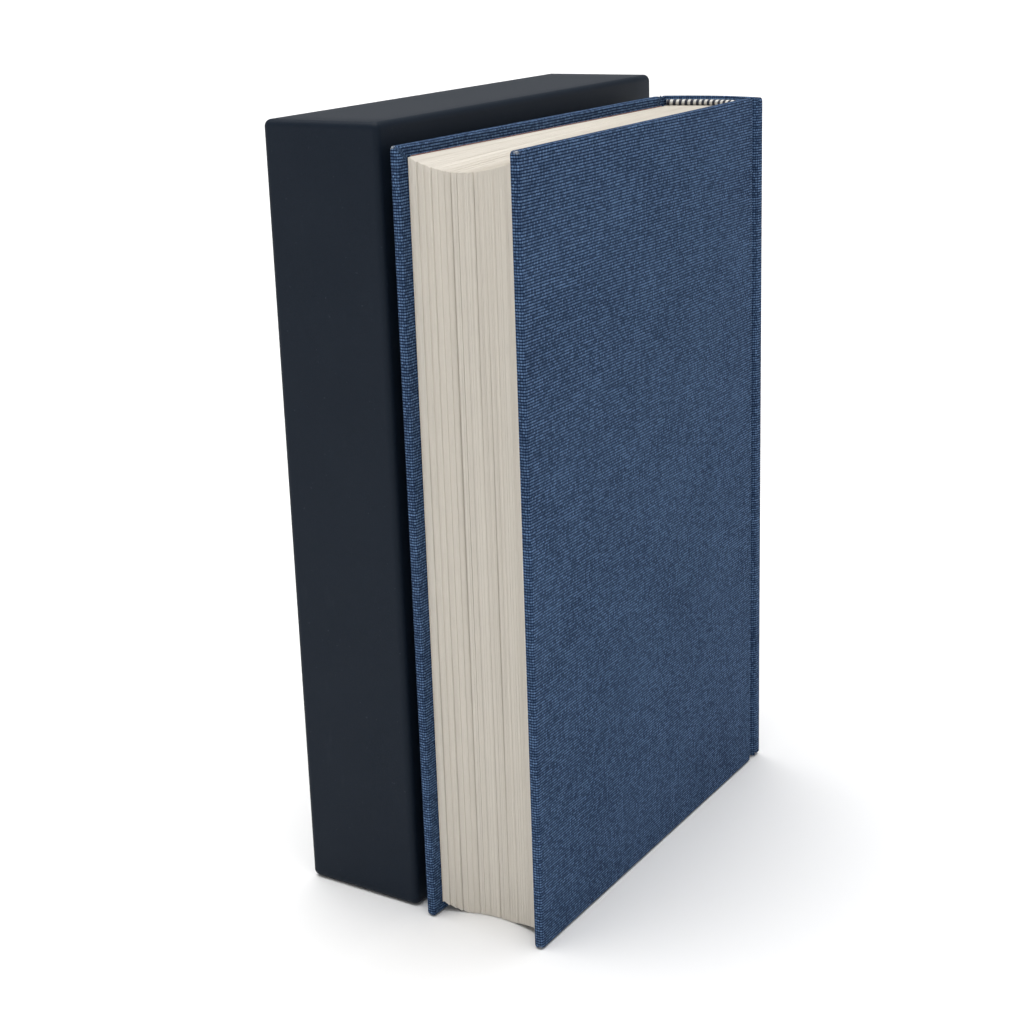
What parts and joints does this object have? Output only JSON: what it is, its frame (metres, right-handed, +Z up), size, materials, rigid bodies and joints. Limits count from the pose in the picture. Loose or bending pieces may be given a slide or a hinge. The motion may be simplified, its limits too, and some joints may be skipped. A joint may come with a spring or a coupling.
{
  "type": "slipcased hardback book",
  "caption": "Tall case-bound book in blue woven cloth standing beside its dark navy slipcase; the covers open and the book slides free.",
  "frame": {"origin": "middle of the set's footprint, on the surface that it stands on", "axes": "+Z up along the height, +Y from the book's fore-edge to its spine, which is also from the slipcase's closed end to its mouth, +X from the slipcase to the book's front cover"},
  "size_m": [0.0901, 0.1634, 0.2461],
  "materials": {
    "book_paper": "uncoated cream book paper, trimmed edges",
    "greyboard": "unprinted grey board",
    "book_cloth": "woven blue book cloth, light weft over dark warp",
    "endpaper": "uncoated red endpaper",
    "case_paper": "matt dark navy covering paper",
    "case_lining": "matt dark navy lining paper",
    "headband": "woven headband, white and navy stripes",
    "mull": "open gauze",
    "lining_paper": "kraft lining paper",
    "thread": "white sewing thread"
  },
  "bodies": {
    "slipcase": {"case_bottom_board": "greyboard", "case_bottom_lining": "case_lining", "case_end_board": "greyboard", "case_end_lining": "case_lining", "case_left_board": "greyboard", "case_left_lining": "case_lining", "case_left_side_paper": "case_paper", "case_right_board": "greyboard", "case_right_lining": "case_lining", "case_right_side_paper": "case_paper", "case_top_board": "greyboard", "case_top_lining": "case_lining", "case_wrap": "case_paper"},
    "back_cover": {"back_board": "greyboard", "back_cover_cloth": "book_cloth", "back_pastedown": "endpaper"},
    "text_block": {"gathering_01": "book_paper", "gathering_02": "book_paper", "gathering_03": "book_paper", "gathering_04": "book_paper", "gathering_05": "book_paper", "gathering_06": "book_paper", "gathering_07": "book_paper", "gathering_08": "book_paper", "gathering_09": "book_paper", "gathering_10": "book_paper", "gathering_11": "book_paper", "gathering_12": "book_paper", "gathering_13": "book_paper", "gathering_14": "book_paper", "gathering_15": "book_paper", "gathering_16": "book_paper", "gathering_17": "book_paper", "gathering_18": "book_paper", "gathering_19": "book_paper", "gathering_20": "book_paper", "sewing_thread": "thread", "mull": "mull", "spine_lining": "lining_paper", "head_band": "headband", "foot_band": "headband", "spine_inlay": "greyboard", "spine_cloth": "book_cloth"},
    "front_cover": {"front_board": "greyboard", "front_cover_cloth": "book_cloth", "front_pastedown": "endpaper"},
    "back_flyleaf": {"back_flyleaf": "endpaper"},
    "front_flyleaf": {"front_flyleaf": "endpaper"}
  },
  "joints": [
    {"name": "book_slide", "type": "slide", "parent": "slipcase", "child": "back_cover", "axis": [0, 1, 0], "range_m": [0, 0.17]},
    {"name": "back_cover_open", "type": "hinge", "parent": "back_cover", "child": "text_block", "pos_m": [0.00528, 0.07188, 0.12], "axis": [0, 0, 1], "range_deg": [0, 90]},
    {"name": "front_cover_open", "type": "hinge", "parent": "text_block", "child": "front_cover", "pos_m": [0.04308, 0.07188, 0.12], "axis": [0, 0, 1], "range_deg": [0, 175]},
    {"name": "back_flyleaf_turn", "type": "hinge", "parent": "text_block", "child": "back_flyleaf", "pos_m": [0.00898, 0.06978, 0.12], "axis": [0, 0, 1], "range_deg": [-45, 0]},
    {"name": "front_flyleaf_turn", "type": "hinge", "parent": "text_block", "child": "front_flyleaf", "pos_m": [0.03938, 0.06978, 0.12], "axis": [0, 0, 1], "range_deg": [0, 87.5]}
  ],
  "couplings": [
    {"joint": "back_flyleaf_turn", "follows": "back_cover_open", "ratio": -0.5},
    {"joint": "front_flyleaf_turn", "follows": "front_cover_open", "ratio": 0.5}
  ]
}
